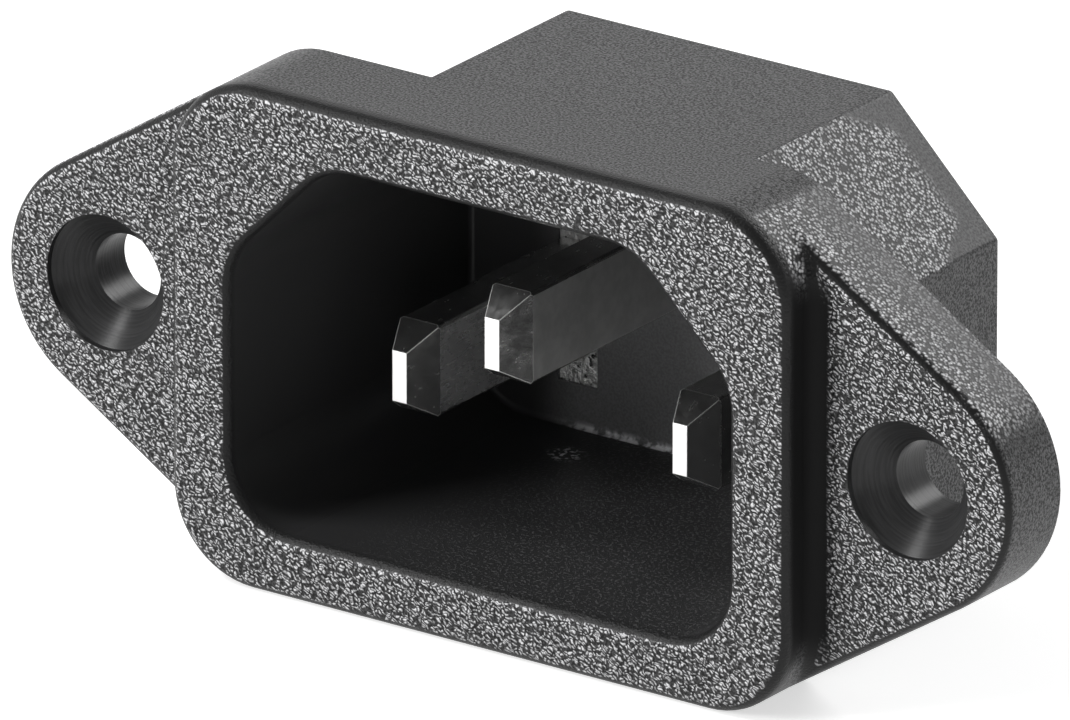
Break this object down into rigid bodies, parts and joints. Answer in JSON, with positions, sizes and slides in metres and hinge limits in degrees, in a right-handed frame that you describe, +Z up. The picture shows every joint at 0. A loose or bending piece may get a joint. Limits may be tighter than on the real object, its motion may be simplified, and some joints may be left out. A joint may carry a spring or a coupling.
{
  "type": "c14 panel inlet socket",
  "caption": "Screw-mount C14 appliance inlet: black flanged housing with a raised bezel, a chamfered cavity with blade pins and rear push-on tabs.",
  "frame": {"origin": "middle of the flange's rear face, half way between the two screw holes", "axes": "+X from the left screw hole to the right one seen from the front, +Y along the screws into the panel, +Z up, to the side of the earth pin"},
  "size_m": [0.05, 0.0259, 0.022],
  "materials": {
    "housing": "black moulded plastic with a spark-eroded grain on the front faces",
    "contact": "nickel-plated brass, satin"
  },
  "bodies": {
    "root": {"housing": "housing", "line_contact": "contact", "neutral_contact": "contact", "earth_contact": "contact"}
  },
  "joints": []
}
